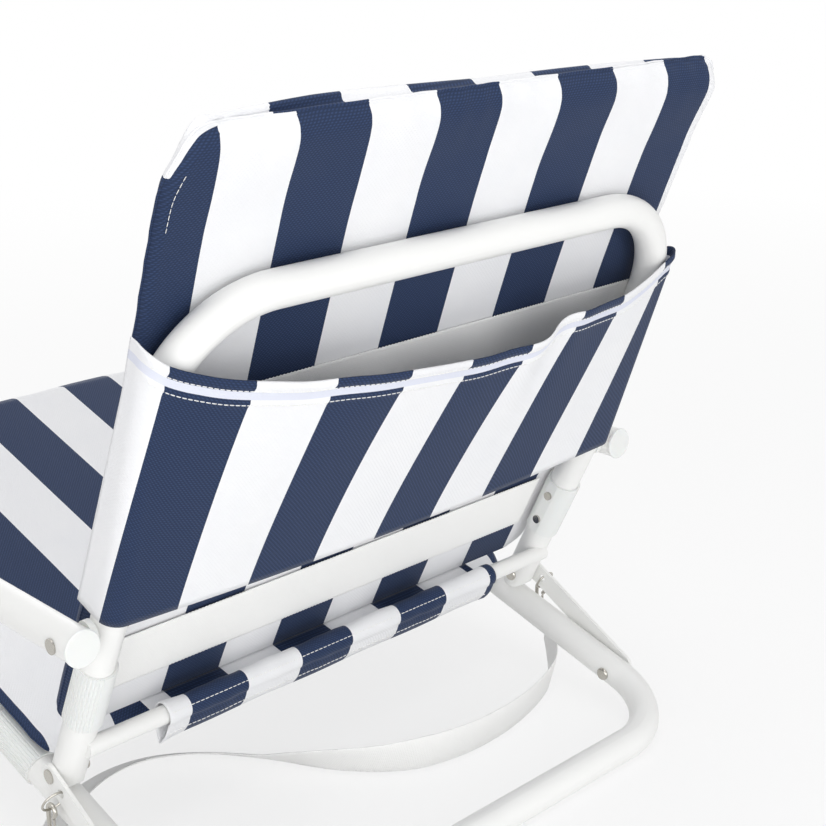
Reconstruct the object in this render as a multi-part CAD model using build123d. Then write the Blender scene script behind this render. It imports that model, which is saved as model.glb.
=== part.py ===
from build123d import *
import os
from math import cos, radians, sin, tan

# Low folding chair of white round tube with a striped pad.
# Millimetres. +X is the sitter's left, the chair faces -Y, the floor is Z = 0.

# Round tube
TUBE_DIAMETER = 25.0
TUBE_WALL = 1.5
FRAME_HALF = 237.0
FIT_GAP = 0.1
SEAT_GAP = 0.3

# Base: a floor bar at the rear whose sides rise forward as the seat rails
REAR_BAR_Y = 296.1
RAIL_SLOPE = 15.3
RAIL_LENGTH = 614.0
REAR_CORNER_RADIUS = 62.0
FRONT_CORNER_RADIUS = 70.0
RAIL_COUPLER_START = 222.0

# Back: a tall arch on two lower tubes, kinked above the arms
PIVOT_ALONG_RAIL = 191.0
PIVOT_ABOVE_RAIL = 26.5
LOWER_RECLINE = 25.4
UPPER_RECLINE = 19.1
ARM_PIVOT_UP = 151.5
KINK_UP = 196.0
KINK_RADIUS = 260.0
ARCH_RISE = 198.5
ARCH_CORNER_RADIUS = 80.0
BACK_COUPLER_START = 57.0
CROSSBAR_DIAMETER = 14.0
CROSSBAR_UP = 35.0
CROSSBAR_BEHIND = 11.0

# Fluted coupler sleeves that join two tubes end to end
COUPLER_LENGTH = 56.0
COUPLER_WALL = 1.9
COUPLER_FLUTES = 16
FLUTE_RADIUS = 0.7
COUPLER_FLAT_DEPTH = 0.7
SCREW_EDGE = 14.0
SCREW_HEAD_RADIUS = 3.6
SCREW_HEAD_HEIGHT = 1.8
SCREW_SHANK_RADIUS = 1.6

# Flat link strips on the outer faces of the tubes
STRIP_WIDTH = 18.0
STRIP_THICKNESS = 3.0
STRIP_GAP = 0.5
LINK_PIN_ALONG = 70.0
RING_EYE_BEHIND = 16.0
RING_EYE_RADIUS = 3.5
FRONT_LINK_BEHIND_BAR = 128.5
OPEN_PIN_PLAY = 2.2

# Arms
ARM_SPACER_LENGTH = 5.0
ARM_SPACER_RADIUS = 9.0
ARM_DROOP = 1.0
ARM_PIN_FORWARD = 299.4
ARM_REAR_OVERHANG = 18.0
ARM_FRONT_OVERHANG = 26.0
CAP_THICKNESS = 3.0
CAP_LIP = 0.6
CAP_PLUG = 14.0

# Front leg, a U on the inner side of the rails
LEG_GAP = 1.5
LEG_PIVOT_BEHIND_BAR = 109.0
LEG_FOOT_AHEAD = 55.0
LEG_CORNER_RADIUS = 48.0
LEG_END = 7.5

# Rivets
RIVET_RADIUS = 3.0
RIVET_HEAD_RADIUS = 5.5
DOME_HEIGHT = 2.4
LOW_HEAD_HEIGHT = 1.1

# Soft goods
PAD_TUBE_INSET = 9.5
PAD_END_INSET = 3.0
PAD_HEAD_INSET = 12.0
PAD_EDGE = 11.0
PAD_CROWN = 16.0
PAD_SIDE_DRAW = 4.0
PAD_ROLL = 25.0
PAD_END_SHARE = 0.7
SEAT_PAD_START = 207.0
SEAT_PAD_OVERHANG = 17.0
BACK_PAD_START = 21.0
BACK_PAD_HEAD = 106.0
BACK_PAD_FREE = 30.0
BACK_PAD_PUFF = 4.0
BACK_PAD_CURL = 8.0
BAND_THICKNESS = 1.4
BAND_WIDTH = 50.0
LOWER_BAND_WIDTH = 60.0
BAND_TUBE_INSET = 1.0
LOWER_BAND_CLEARANCE = 2.5
LOWER_BAND_UP = 86.0
UPPER_BAND_UP = 289.0
SEAT_BANDS_ALONG = (310.0, 430.0)
CLOTH = 1.4
POCKET_RISE = 182.0
POCKET_SIDE_DROP = 26.0
POCKET_DROP = 30.0
POCKET_FLOOR_BULGE = 6.0
POCKET_MOUTH_BULGE = 26.0
POCKET_SAG = 46.0
POCKET_FRONT = 24.0
POCKET_MOUTH_FRONT = 11.0
HEM_HALF = 164.0
HEM_TOP_UP = 45.0
HEM_TAIL = 11.0

# Carry strap and its metal fittings
STRAP_WIDTH = 32.0
STRAP_THICKNESS = 2.0
STRAP_LIFT = 0.5
RING_RADIUS = 9.0
RING_WIRE = 0.9
HOOK_WIRE = 1.7
HOOK_RADIUS = 4.6
HOOK_SHANK = 16.0
BARREL_RADIUS = 3.4
BARREL_LENGTH = 7.0
EYE_RADIUS = 5.0
# Across as a share of the frame's half width, then along Y
STRAP_ROUTE = (
    (1.0852, 118.5),
    (0.9536, 71.1),
    (0.7764, 39.1),
    (0.557, 32.1),
    (0.3713, 56.1),
    (0.2236, 102.1),
    (0.0928, 152.1),
    (-0.0928, 192.1),
    (-0.3291, 208.1),
    (-0.5654, 207.1),
    (-0.7764, 195.1),
    (-0.962, 174.1),
    (-1.0835, 134.1),
)

tube_radius = TUBE_DIAMETER / 2
bore_radius = tube_radius - TUBE_WALL
strip_inner = FRAME_HALF + tube_radius + STRIP_GAP
strip_outer = strip_inner + STRIP_THICKNESS
arm_x = FRAME_HALF + TUBE_DIAMETER + ARM_SPACER_LENGTH
leg_x = FRAME_HALF - TUBE_DIAMETER - LEG_GAP
coupler_radius = tube_radius + FIT_GAP + COUPLER_WALL
pad_base = coupler_radius + 2 * SEAT_GAP
pad_half_width = FRAME_HALF + tube_radius - PAD_TUBE_INSET
band_half = FRAME_HALF - BAND_TUBE_INSET
lower_band_half = FRAME_HALF - coupler_radius - LOWER_BAND_CLEARANCE


def side_direction(angle):
    """Unit vector in the side plane, angle from +Y towards +Z."""
    return Vector(0, cos(radians(angle)), sin(radians(angle)))


rail_forward = side_direction(180 - RAIL_SLOPE)
rail_normal = side_direction(90 - RAIL_SLOPE)
lower_up = side_direction(90 - LOWER_RECLINE)
lower_rear = side_direction(-LOWER_RECLINE)
upper_up = side_direction(90 - UPPER_RECLINE)
upper_rear = side_direction(-UPPER_RECLINE)
arm_forward = side_direction(180 + ARM_DROOP)
across = Vector(1, 0, 0)
rear_bar = Vector(0, REAR_BAR_Y, tube_radius)


def on_rail(along, above=0.0, x=0.0):
    return rear_bar + rail_forward * along + rail_normal * above + across * x


back_pivot = on_rail(PIVOT_ALONG_RAIL, PIVOT_ABOVE_RAIL)
link_pin = on_rail(LINK_PIN_ALONG)
front_link_pin = on_rail(RAIL_LENGTH - FRONT_LINK_BEHIND_BAR)
leg_pivot = on_rail(RAIL_LENGTH - LEG_PIVOT_BEHIND_BAR)
arm_pivot = back_pivot + lower_up * ARM_PIVOT_UP
kink = back_pivot + lower_up * KINK_UP
arch_top = kink + upper_up * ARCH_RISE
arm_pin = arm_pivot + arm_forward * ARM_PIN_FORWARD
leg_foot = Vector(0, leg_pivot.Y - LEG_FOOT_AHEAD, tube_radius)


def at_x(point, x):
    return Vector(x, point.Y, point.Z)


def on_back(up, rear=0.0, x=0.0):
    """Point on the back, measured up its tubes from the pivot and behind their axis."""
    if up <= KINK_UP:
        return at_x(back_pivot + lower_up * up + lower_rear * rear, x)
    return at_x(kink + upper_up * (up - KINK_UP) + upper_rear * rear, x)


def rod(start, end, radius):
    run = end - start
    return Plane(start, z_dir=run) * Cylinder(
        radius, run.length, align=(Align.CENTER, Align.CENTER, Align.MIN)
    )


def cross_rod(point, x0, x1, radius):
    return rod(at_x(point, min(x0, x1)), at_x(point, max(x0, x1)), radius)


def tube_along(path, outer, inner):
    section = Plane(path @ 0, z_dir=path % 0) * (Circle(outer) - Circle(inner))
    return sweep(section, path=path)


def solid_of(shape):
    return shape.solids()[0] if len(shape.solids()) == 1 else Compound(shape.solids())


def mirrored(shape):
    return mirror(shape, about=Plane.YZ)


written = []


def save(name, shape):
    solids = shape.solids()
    export_step(Compound(solids) if len(solids) > 1 else solids[0], f"parts/{name}.step")
    written.append((name, len(solids), sum(s.volume for s in solids)))


def save_pair(name, left_shape):
    save(f"{name}_left", left_shape)
    save(f"{name}_right", mirrored(left_shape))


def save_group(name, left_shape):
    save(name, Compound(left_shape.solids() + mirrored(left_shape).solids()))


# Rivets lie across the chair. A dome shows inside, a low head outside.
def rivet(point, inner_face, outer_face, inner_head=DOME_HEIGHT, outer_head=LOW_HEAD_HEIGHT):
    inner = inner_face - FIT_GAP
    outer = outer_face + FIT_GAP
    shank = cross_rod(point, inner - inner_head / 2, outer + outer_head / 2, RIVET_RADIUS)
    dome = cross_rod(point, inner - inner_head, inner, RIVET_HEAD_RADIUS)
    dome = fillet(dome.edges().filter_by(GeomType.CIRCLE).sort_by(Axis.X)[0], inner_head * 0.8)
    if not outer_head:
        return shank + dome
    return shank + dome + cross_rod(point, outer, outer + outer_head, RIVET_HEAD_RADIUS)


def rivet_bore(point):
    return cross_rod(point, FRAME_HALF - 2 * TUBE_DIAMETER, arm_x + TUBE_DIAMETER, RIVET_RADIUS + FIT_GAP)


# Fluted sleeve over the butt joint of two tubes, flat on the inner side for its screws
def coupler_parts(start, direction):
    axis_plane = Plane(start, x_dir=across, z_dir=direction)
    long_z = (Align.CENTER, Align.CENTER, Align.MIN)
    sleeve = axis_plane * Cylinder(coupler_radius, COUPLER_LENGTH, align=long_z)
    sleeve -= axis_plane * Cylinder(tube_radius + FIT_GAP, COUPLER_LENGTH, align=long_z)
    for index in range(COUPLER_FLUTES):
        angle = -75 + index * 150 / (COUPLER_FLUTES - 1)
        spot = Pos(coupler_radius * cos(radians(angle)), coupler_radius * sin(radians(angle)), 0)
        sleeve -= axis_plane * spot * Cylinder(FLUTE_RADIUS, COUPLER_LENGTH, align=long_z)
    flat_x = -(coupler_radius - COUPLER_FLAT_DEPTH)
    waste = Box(2 * COUPLER_FLAT_DEPTH, TUBE_DIAMETER, COUPLER_LENGTH, align=long_z)
    sleeve -= axis_plane * Pos(flat_x - COUPLER_FLAT_DEPTH, 0, 0) * waste
    screws = []
    for height in (SCREW_EDGE, COUPLER_LENGTH - SCREW_EDGE):
        seat = axis_plane * Pos(flat_x - FIT_GAP / 2, 0, height)
        head = seat * Rot(0, -90, 0) * Cylinder(SCREW_HEAD_RADIUS, SCREW_HEAD_HEIGHT, align=long_z)
        reach = COUPLER_WALL + TUBE_WALL
        shank = seat * Rot(0, 90, 0) * Cylinder(SCREW_SHANK_RADIUS, reach, align=long_z)
        bore = seat * Rot(0, 90, 0) * Cylinder(SCREW_SHANK_RADIUS + FIT_GAP, 2 * reach, align=long_z)
        sleeve -= bore
        screws.append((head + shank, bore))
    return sleeve, [s for s, _ in screws], [b for _, b in screws]


def drill(shape, tools):
    for tool in tools:
        shape = shape - tool
    return shape


def both_sides(tools):
    return tools + [mirrored(t) for t in tools]


def strip(start, end, start_bore, end_bore, eye=0.0):
    """Flat strip on the left outer face between two pins, with round ends."""
    run = end - start
    length = run.length
    face_plane = Plane(at_x(start, strip_inner), x_dir=run, z_dir=across)
    outline = Pos(length / 2, 0) * SlotCenterToCenter(length, STRIP_WIDTH)
    plate = face_plane * extrude(outline, STRIP_THICKNESS)
    holes = ((0.0, start_bore), (length, end_bore))
    if eye:
        holes += ((length - eye, RING_EYE_RADIUS),)
    for place, radius in holes:
        hole = Pos(place, 0, STRIP_THICKNESS / 2) * Cylinder(radius, 3 * STRIP_THICKNESS)
        plate -= face_plane * hole
    return plate


os.makedirs("parts", exist_ok=True)
pin_bore = RIVET_RADIUS + FIT_GAP

# Rear leg frame: floor bar and the rear half of both rails
rail_joint = RAIL_COUPLER_START + COUPLER_LENGTH / 2
rail_coupler, rail_screws, rail_bores = coupler_parts(
    on_rail(RAIL_COUPLER_START, 0, FRAME_HALF), rail_forward
)
rail_pins = [rivet_bore(link_pin), rivet_bore(front_link_pin), rivet_bore(leg_pivot)]
rear_path = FilletPolyline(
    on_rail(rail_joint - FIT_GAP, 0, FRAME_HALF),
    on_rail(0, 0, FRAME_HALF),
    on_rail(0, 0, -FRAME_HALF),
    on_rail(rail_joint - FIT_GAP, 0, -FRAME_HALF),
    radius=REAR_CORNER_RADIUS,
)
rear_frame = tube_along(rear_path, tube_radius, bore_radius)
rear_frame = drill(rear_frame, both_sides(rail_bores + rail_pins[:1]))
save("rear_leg_frame", rear_frame)

# Seat frame: the front half of the rails, closed by the front bar
front_path = FilletPolyline(
    on_rail(rail_joint + FIT_GAP, 0, FRAME_HALF),
    on_rail(RAIL_LENGTH, 0, FRAME_HALF),
    on_rail(RAIL_LENGTH, 0, -FRAME_HALF),
    on_rail(rail_joint + FIT_GAP, 0, -FRAME_HALF),
    radius=FRONT_CORNER_RADIUS,
)
seat_frame = tube_along(front_path, tube_radius, bore_radius)
seat_frame = drill(seat_frame, both_sides(rail_bores + rail_pins[1:]))
save("seat_frame", seat_frame)
save_pair("rail_coupler", rail_coupler)
save_group("rail_coupler_screws", Compound([s for screw in rail_screws for s in screw.solids()]))

# Lower back tubes with plugged round ends that rest over the rails
back_coupler, back_screws, back_bores = coupler_parts(
    on_back(BACK_COUPLER_START, 0, FRAME_HALF), lower_up
)
back_joint = BACK_COUPLER_START + COUPLER_LENGTH / 2
lower_tube = rod(at_x(back_pivot, FRAME_HALF), on_back(back_joint - FIT_GAP, 0, FRAME_HALF), tube_radius)
round_end = rod(on_back(-TUBE_DIAMETER, 0, FRAME_HALF), at_x(back_pivot, FRAME_HALF), tube_radius)
round_end &= cross_rod(back_pivot, FRAME_HALF - TUBE_DIAMETER, FRAME_HALF + TUBE_DIAMETER, tube_radius)
lower_tube += round_end
lower_tube -= rod(
    on_back(tube_radius, 0, FRAME_HALF), on_back(back_joint + TUBE_DIAMETER, 0, FRAME_HALF), bore_radius
)
lower_tube = drill(lower_tube, back_bores + [rivet_bore(back_pivot)])
save_pair("back_lower_tube", lower_tube)

# Back arch, one bent tube from sleeve to sleeve
arch_path = FilletPolyline(
    on_back(back_joint + FIT_GAP, 0, FRAME_HALF),
    at_x(kink, FRAME_HALF),
    at_x(arch_top, FRAME_HALF),
    at_x(arch_top, -FRAME_HALF),
    at_x(kink, -FRAME_HALF),
    on_back(back_joint + FIT_GAP, 0, -FRAME_HALF),
    radius=(KINK_RADIUS, ARCH_CORNER_RADIUS, ARCH_CORNER_RADIUS, KINK_RADIUS),
)
back_arch = tube_along(arch_path, tube_radius, bore_radius)
back_arch = drill(back_arch, both_sides(back_bores + [rivet_bore(arm_pivot)]))
save("back_arch", back_arch)
save_pair("back_coupler", back_coupler)
save_group("back_coupler_screws", Compound([s for screw in back_screws for s in screw.solids()]))

# Crossbar behind the lower tubes, its ends shaped to their round backs
crossbar_axis = on_back(CROSSBAR_UP, CROSSBAR_BEHIND)
crossbar = cross_rod(crossbar_axis, -FRAME_HALF, FRAME_HALF, CROSSBAR_DIAMETER / 2)
for x in (-FRAME_HALF, FRAME_HALF):
    crossbar -= rod(on_back(0, 0, x), on_back(2 * CROSSBAR_UP, 0, x), tube_radius + FIT_GAP)
crossbar = max(crossbar.solids(), key=lambda s: s.volume)
save("crossbar", crossbar)

# Link strips, their rivets and the rivets of the front links and the front leg
link = strip(link_pin, back_pivot, pin_bore, pin_bore, RING_EYE_BEHIND)
save_pair("link_strip", link)
tube_inner = FRAME_HALF - tube_radius
save_group("back_pivot_rivets", rivet(back_pivot, tube_inner, strip_outer))
save_group("link_rail_rivets", rivet(link_pin, tube_inner, strip_outer))
front_link = strip(front_link_pin, arm_pin, pin_bore, RIVET_RADIUS + OPEN_PIN_PLAY)
save_pair("front_link_strip", front_link)
save_group("front_link_rivets", rivet(front_link_pin, tube_inner, strip_outer, LOW_HEAD_HEIGHT))

# Arms with plugged ends, spacers and pivot bolts
arm_rear_end = arm_pivot - arm_forward * (ARM_REAR_OVERHANG - CAP_THICKNESS)
arm_front_end = arm_pin + arm_forward * (ARM_FRONT_OVERHANG - CAP_THICKNESS)
arm = rod(at_x(arm_rear_end, arm_x), at_x(arm_front_end, arm_x), tube_radius)
arm -= rod(at_x(arm_rear_end, arm_x), at_x(arm_front_end, arm_x), bore_radius)
arm = drill(arm, [rivet_bore(arm_pivot), rivet_bore(arm_pin)])
save_pair("arm", arm)


def end_cap(end, outward):
    base = at_x(end, arm_x)
    disc = rod(base + outward * FIT_GAP, base + outward * CAP_THICKNESS, tube_radius + CAP_LIP)
    disc = fillet(disc.edges().filter_by(GeomType.CIRCLE), CAP_THICKNESS * 0.35)
    plug = rod(base - outward * CAP_PLUG, base + outward * CAP_THICKNESS / 2, bore_radius - FIT_GAP)
    return drill(disc + plug, [rivet_bore(arm_pivot), rivet_bore(arm_pin)])


save_pair("arm_rear_cap", end_cap(arm_rear_end, arm_forward * -1))
save_pair("arm_front_cap", end_cap(arm_front_end, arm_forward))
spacer_start = FRAME_HALF + tube_radius + FIT_GAP
spacer_end = arm_x - tube_radius - FIT_GAP
spacer = cross_rod(arm_pivot, spacer_start, spacer_end, ARM_SPACER_RADIUS)
save_group("arm_spacers", spacer - rivet_bore(arm_pivot))
save_group("arm_pivot_bolts", rivet(arm_pivot, tube_inner, arm_x + tube_radius))
open_pin = cross_rod(arm_pin, strip_inner, arm_x + tube_radius + LOW_HEAD_HEIGHT / 2, RIVET_RADIUS)
open_head_start = arm_x + tube_radius + FIT_GAP
open_pin += cross_rod(arm_pin, open_head_start, open_head_start + LOW_HEAD_HEIGHT, RIVET_HEAD_RADIUS)
save_group("arm_front_rivets", open_pin)

# Front leg: U tube inside the rails, carried on two rivets
leg_down = (leg_foot - leg_pivot).normalized()
leg_path = FilletPolyline(
    at_x(leg_pivot - leg_down * LEG_END, leg_x),
    at_x(leg_foot, leg_x),
    at_x(leg_foot, -leg_x),
    at_x(leg_pivot - leg_down * LEG_END, -leg_x),
    radius=LEG_CORNER_RADIUS,
)
front_leg = tube_along(leg_path, tube_radius, bore_radius)
front_leg = drill(front_leg, both_sides([rivet_bore(leg_pivot)]))
save("front_leg", front_leg)
leg_inner = leg_x - tube_radius
save_group("front_leg_rivets", rivet(leg_pivot, leg_inner, FRAME_HALF + tube_radius, outer_head=0.0))


# Pad: flat underside, drawn-in sides and a crowned top, through sections along its length
def pad_section(origin, direction, thickness, half_width, crown):
    plane = Plane(origin, x_dir=across, z_dir=direction)
    flat = half_width - PAD_SIDE_DRAW
    rear = Line((-flat, 0), (flat, 0))
    right = ThreePointArc((flat, 0), (half_width, thickness / 2), (flat, thickness))
    top = ThreePointArc((flat, thickness), (0, thickness + crown), (-flat, thickness))
    left = ThreePointArc((-flat, thickness), (-half_width, thickness / 2), (-flat, 0))
    return plane * make_face(Curve() + [rear, right, top, left])


def seat_section(along, thickness, inset, crown):
    origin = on_rail(along, pad_base)
    return pad_section(origin, rail_forward, thickness, pad_half_width - inset, crown)


seat_end = RAIL_LENGTH + SEAT_PAD_OVERHANG
end_edge = PAD_EDGE * PAD_END_SHARE
end_crown = PAD_CROWN * PAD_END_SHARE
seat_pad = loft(
    [
        seat_section(SEAT_PAD_START, end_edge, PAD_END_INSET, end_crown / 2),
        seat_section(SEAT_PAD_START + PAD_ROLL, PAD_EDGE, 0.0, PAD_CROWN),
        seat_section(seat_end - PAD_ROLL, PAD_EDGE, 0.0, PAD_CROWN),
        seat_section(seat_end, end_edge, PAD_END_INSET, end_crown),
    ],
    ruled=True,
)
save("seat_pad", seat_pad)

head_up = KINK_UP + ARCH_RISE + BACK_PAD_HEAD
kink_half = PAD_ROLL


def back_section(up, forward, thickness, inset, crown):
    direction = lower_up if up < KINK_UP else upper_up
    origin = on_back(up, -pad_base - forward)
    return pad_section(origin, direction * -1, thickness, pad_half_width - inset, crown)


back_pad = loft(
    [
        back_section(BACK_PAD_START, 0, end_edge, PAD_END_INSET, end_crown / 2),
        back_section(BACK_PAD_START + PAD_ROLL, 0, PAD_EDGE, 0.0, PAD_CROWN),
        back_section(KINK_UP - kink_half, 0, PAD_EDGE, 0.0, PAD_CROWN),
        back_section(KINK_UP + kink_half, 0, PAD_EDGE, 0.0, PAD_CROWN),
        back_section(KINK_UP + ARCH_RISE + BACK_PAD_FREE, 0, PAD_EDGE, 0.0, PAD_CROWN),
        back_section(head_up - PAD_ROLL, -BACK_PAD_PUFF, PAD_EDGE + BACK_PAD_PUFF, 0.0, PAD_CROWN),
        back_section(head_up, BACK_PAD_CURL, end_edge, PAD_HEAD_INSET, end_crown / 2),
    ],
    ruled=True,
)
save("back_pad", back_pad)


# Webbing bands between the tubes and the pads
def band(origin, normal, half_width=band_half, width=BAND_WIDTH):
    plane = Plane(origin, x_dir=across, z_dir=normal)
    on_face = (Align.CENTER, Align.CENTER, Align.MIN)
    return plane * Box(2 * half_width, width, BAND_THICKNESS, align=on_face)


band_rear = tube_radius + SEAT_GAP
lower_band_spot = on_back(LOWER_BAND_UP, -band_rear)
save("lower_back_band", band(lower_band_spot, lower_rear * -1, lower_band_half, LOWER_BAND_WIDTH))
save("upper_back_band", band(on_back(UPPER_BAND_UP, -band_rear), upper_rear * -1))
for name, along in zip(("rear_seat_band", "front_seat_band"), SEAT_BANDS_ALONG):
    save(name, band(on_rail(along, band_rear), rail_normal))

# Pocket: one cloth round both tubes, open and sagging at its top edge
pocket_inner = tube_radius + 2 * SEAT_GAP
pocket_outer = pocket_inner + CLOTH


def pocket_outline(radius, front, bulge):
    wall = FRAME_HALF + radius
    edges = [
        Line((-wall, -front), (-wall, 0)),
        CenterArc((-FRAME_HALF, 0), radius, 180, -90),
        ThreePointArc((-FRAME_HALF, radius), (0, radius + bulge), (FRAME_HALF, radius)),
        CenterArc((FRAME_HALF, 0), radius, 90, -90),
        Line((wall, 0), (wall, -front)),
        Line((wall, -front), (-wall, -front)),
    ]
    return make_face(Curve() + edges)


pocket_plane = Plane(kink, x_dir=across, z_dir=upper_up)


def pocket_form(radius, front, mouth_front):
    floor = Pos(0, 0, -POCKET_DROP) * pocket_outline(radius, front, POCKET_FLOOR_BULGE)
    mouth = Pos(0, 0, POCKET_RISE) * pocket_outline(radius, mouth_front, POCKET_MOUTH_BULGE)
    return loft([floor, mouth], ruled=True)


pocket_local = pocket_form(pocket_outer, POCKET_FRONT, POCKET_MOUTH_FRONT)
pocket_local -= pocket_form(pocket_inner, 2 * POCKET_FRONT, 2 * POCKET_FRONT)
notch_depth = POCKET_DROP - POCKET_SIDE_DROP
notch_inner = FRAME_HALF - tube_radius - 2 * SEAT_GAP
notch_width = 2 * TUBE_DIAMETER
for sign in (-1, 1):
    notch = Box(notch_width, 8 * TUBE_DIAMETER, 2 * notch_depth)
    pocket_local -= Pos(sign * (notch_inner + notch_width / 2), 0, -POCKET_DROP) * notch
sag_radius = (FRAME_HALF**2 + POCKET_SAG**2) / (2 * POCKET_SAG)
sag_tool = Pos(0, FRAME_HALF, POCKET_RISE - POCKET_SAG + sag_radius) * Rot(90, 0, 0)
pocket_local -= sag_tool * Cylinder(sag_radius, 2 * FRAME_HALF - 2 * POCKET_FRONT + TUBE_DIAMETER)
floor_face = pocket_outline(pocket_outer, band_rear - SEAT_GAP, POCKET_FLOOR_BULGE)
floor_face &= Rectangle(2 * notch_inner, 4 * FRAME_HALF)
pocket_local += Pos(0, 0, -POCKET_DROP) * extrude(floor_face, CLOTH)
save("pocket", solid_of(pocket_plane.location * pocket_local))

# Hem: a sleeve of cloth round the crossbar, with a flap to the pad and a sewn tail below
hem_inner = CROSSBAR_DIAMETER / 2 + SEAT_GAP
hem_outer = hem_inner + CLOTH
hem_base = on_back(CROSSBAR_UP, CROSSBAR_BEHIND - hem_outer + CLOTH / 2)
hem_top = on_back(HEM_TOP_UP, -band_rear)
hem = cross_rod(crossbar_axis, -HEM_HALF, HEM_HALF, hem_outer)
flap_run = hem_top - hem_base
flap_plane = Plane(hem_base + flap_run * 0.5, x_dir=across, z_dir=flap_run)
hem += flap_plane * Box(2 * HEM_HALF, CLOTH, flap_run.length)
tail_spot = on_back(CROSSBAR_UP - hem_outer + (CLOTH - HEM_TAIL) / 2, CROSSBAR_BEHIND)
tail_plane = Plane(tail_spot, x_dir=across, z_dir=lower_up)
hem += tail_plane * Box(2 * HEM_HALF, 2 * CLOTH, HEM_TAIL)
hem -= cross_rod(crossbar_axis, -2 * HEM_HALF, 2 * HEM_HALF, hem_inner)
save("hem_sleeve", max(hem.solids(), key=lambda s: s.volume))

# Split rings in the eyes of the link strips, swivel snap hooks below them
link_run = (back_pivot - link_pin).normalized()
link_below = Vector(0, -link_run.Z, link_run.Y)
eye_spot = back_pivot - link_run * RING_EYE_BEHIND
ring_pass = STRIP_WIDTH / 2 + 2 * RING_WIRE + SEAT_GAP - 1.0
ring_out = (RING_RADIUS**2 - (ring_pass / 2) ** 2) ** 0.5
ring_centre = at_x(eye_spot + link_below * (1.0 + ring_pass / 2), strip_inner + ring_out)
ring = Plane(ring_centre, x_dir=across, z_dir=link_run) * Torus(RING_RADIUS, RING_WIRE)
save_pair("split_ring", ring)

hook_top = ring_centre + link_below * RING_RADIUS
hook_clear = HOOK_WIRE + RING_WIRE + SEAT_GAP
claw_centre = Vector(hook_top.X, hook_top.Y, hook_top.Z + hook_clear - HOOK_RADIUS)
claw_plane = Plane(claw_centre, x_dir=(0, 1, 0), z_dir=across)
hook_path = claw_plane * (
    CenterArc((0, 0), HOOK_RADIUS, -60, 240) + Line((-HOOK_RADIUS, 0), (-HOOK_RADIUS, -HOOK_SHANK))
)
hook_wire = Wire(hook_path.edges())
hook = sweep(Plane(hook_wire @ 0, z_dir=hook_wire % 0) * Circle(HOOK_WIRE), path=hook_wire)
bridge_z = claw_centre.Z - HOOK_SHANK
bridge = rod(
    Vector(claw_centre.X, claw_centre.Y - HOOK_RADIUS, bridge_z),
    Vector(claw_centre.X, claw_centre.Y + BARREL_RADIUS, bridge_z),
    HOOK_WIRE,
)
hook += bridge
save_pair("snap_hook", hook)

gate_top = claw_plane.from_local_coords(
    Vector(HOOK_RADIUS * cos(radians(-60)), HOOK_RADIUS * sin(radians(-60)), 0)
)
gate = rod(
    gate_top - Vector(0, 0, HOOK_WIRE + SEAT_GAP),
    Vector(claw_centre.X, gate_top.Y, bridge_z + HOOK_WIRE + SEAT_GAP),
    HOOK_WIRE * 0.6,
)
save_pair("hook_gate", gate)

barrel_top = bridge_z - HOOK_WIRE - SEAT_GAP
barrel_start = Vector(claw_centre.X, claw_centre.Y, barrel_top)
barrel = rod(barrel_start, barrel_start - Vector(0, 0, BARREL_LENGTH), BARREL_RADIUS)
barrel = fillet(barrel.edges().filter_by(GeomType.CIRCLE), BARREL_RADIUS * 0.3)
save_pair("swivel_barrel", barrel)
eye_centre = barrel_start - Vector(0, 0, BARREL_LENGTH + EYE_RADIUS + HOOK_WIRE + SEAT_GAP)
strap_eye = Plane(eye_centre, x_dir=(0, 1, 0), z_dir=across) * Torus(EYE_RADIUS, HOOK_WIRE)
save_pair("strap_eye", strap_eye)


# Carry strap: flat webbing standing on edge on the floor between the two hooks
def route_radii(points):
    radii = []
    for before, here, after in zip(points, points[1:], points[2:]):
        run_in = Vector(*here) - Vector(*before)
        run_out = Vector(*after) - Vector(*here)
        turn = radians(run_in.get_angle(run_out))
        radii.append(0.45 * min(run_in.length, run_out.length) / tan(turn / 2))
    return radii


strap_route = [(share * FRAME_HALF, y) for share, y in STRAP_ROUTE]
strap_radii = route_radii(strap_route)
print("strap radii", [round(r, 1) for r in strap_radii])
strap_path = FilletPolyline(*strap_route, radius=strap_radii)
print("strap length", round(strap_path.length, 1))
strap = extrude(trace(strap_path, STRAP_THICKNESS), STRAP_WIDTH)
save("carry_strap", Pos(0, 0, STRAP_LIFT) * strap)

for name, count, volume in written:
    print(f"{name}: {count} solids, {volume:.0f} mm3")
for name, point in (
    ("back pivot", back_pivot),
    ("link pin", link_pin),
    ("arm pivot", arm_pivot),
    ("arm pin", arm_pin),
    ("front link pin", front_link_pin),
    ("leg pivot", leg_pivot),
    ("eye centre", eye_centre),
):
    print(name, round(point.Y, 3), round(point.Z, 3))
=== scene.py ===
import math

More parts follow.
